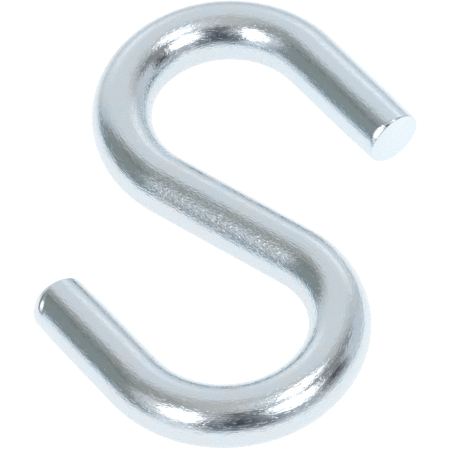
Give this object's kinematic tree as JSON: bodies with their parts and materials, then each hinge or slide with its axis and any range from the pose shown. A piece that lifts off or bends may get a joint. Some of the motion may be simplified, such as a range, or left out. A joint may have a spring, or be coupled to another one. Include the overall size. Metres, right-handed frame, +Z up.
{
  "type": "s hook",
  "caption": "Open S hook bent from round zinc-plated steel bar, for hanging a load or joining rings, chain links and rails.",
  "frame": {"origin": "centre of the hook's outline as it lies flat, on the surface that it lies on", "axes": "+Y along the load line, from the lower crown to the upper crown; +Z up, square to the plane of the S"},
  "size_m": [0.0374, 0.0526, 0.006],
  "materials": {
    "zinc_plate": "bright zinc plate with a faint blue cast, over fine drawing streaks"
  },
  "bodies": {
    "root": {"s_hook": "zinc_plate"}
  },
  "joints": []
}
